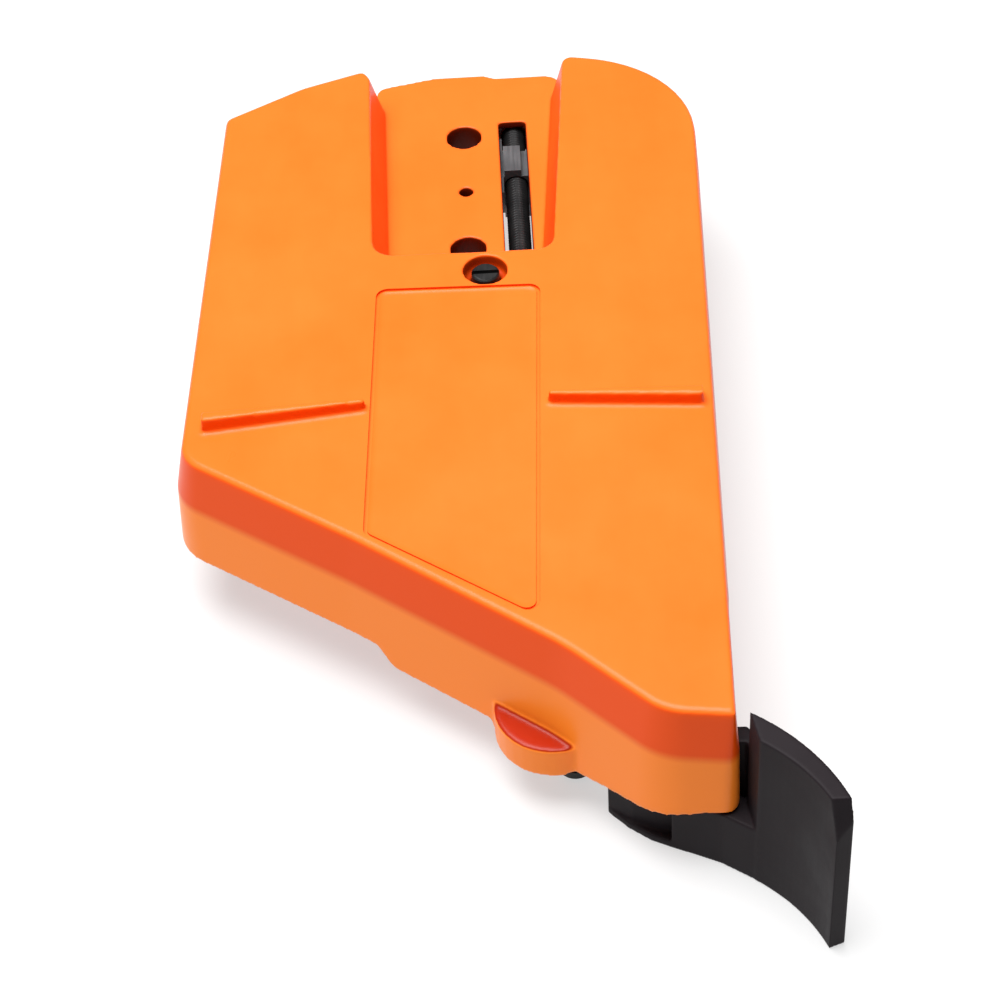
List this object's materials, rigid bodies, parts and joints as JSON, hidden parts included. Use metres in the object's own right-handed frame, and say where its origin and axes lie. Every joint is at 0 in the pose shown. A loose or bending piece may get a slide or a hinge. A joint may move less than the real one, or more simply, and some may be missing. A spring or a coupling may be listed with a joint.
{
  "type": "chainsaw clutch cover",
  "caption": "Cast clutch and sprocket side cover of a chainsaw, with its side chain tensioner inside and a rubber chip flap at the rear.",
  "frame": {"origin": "on the clamp face, the underside of the bar guide plate, midway between the two bar studs", "axes": "+Z out of the saw through the cover's outer face, +Y along the guide bar towards its nose, +X towards the saw's underside"},
  "size_m": [0.1411, 0.2657, 0.0498],
  "materials": {
    "orange_paint": "glossy orange paint on a magnesium die casting",
    "zinc_steel": "zinc-plated steel",
    "black_steel": "black oxide steel",
    "black_rubber": "matt moulded black rubber"
  },
  "bodies": {
    "cover": {"cover_shell": "orange_paint", "bar_guide_plate": "zinc_steel", "guide_plate_screw_1": "zinc_steel", "guide_plate_screw_2": "zinc_steel", "guide_plate_screw_3": "zinc_steel", "chip_flap": "black_rubber", "flap_clamp_plate": "zinc_steel", "flap_screw_1": "black_steel", "flap_screw_2": "black_steel", "flap_washer_1": "zinc_steel", "flap_washer_2": "zinc_steel", "locating_sleeve": "zinc_steel", "adjuster_washer": "zinc_steel", "spindle_washer": "zinc_steel"},
    "adjuster": {"adjuster_screw": "black_steel", "adjuster_o_ring": "black_rubber"},
    "spindle": {"tension_spindle": "black_steel", "spindle_gear": "zinc_steel", "gear_pin": "zinc_steel"},
    "block": {"tension_block": "black_steel", "tension_pin": "zinc_steel"}
  },
  "joints": [
    {"name": "block_slide", "type": "slide", "parent": "cover", "child": "block", "axis": [0, 1, 0], "range_m": [-0.012, 0.003]},
    {"name": "adjuster_turn", "type": "hinge", "parent": "cover", "child": "adjuster", "pos_m": [0.0041, -0.0461, 0.0052], "axis": [0, 0, 1], "range_deg": [-1080.1, 4320.1]},
    {"name": "spindle_turn", "type": "hinge", "parent": "cover", "child": "spindle", "pos_m": [0.013, -0.0461, 0.0052], "axis": [0, 1, 0], "range_deg": [-1080.1, 4320.1]}
  ],
  "couplings": [
    {"joint": "adjuster_turn", "follows": "block_slide", "rad_per_m": -6283.2},
    {"joint": "spindle_turn", "follows": "block_slide", "rad_per_m": -6283.2}
  ]
}
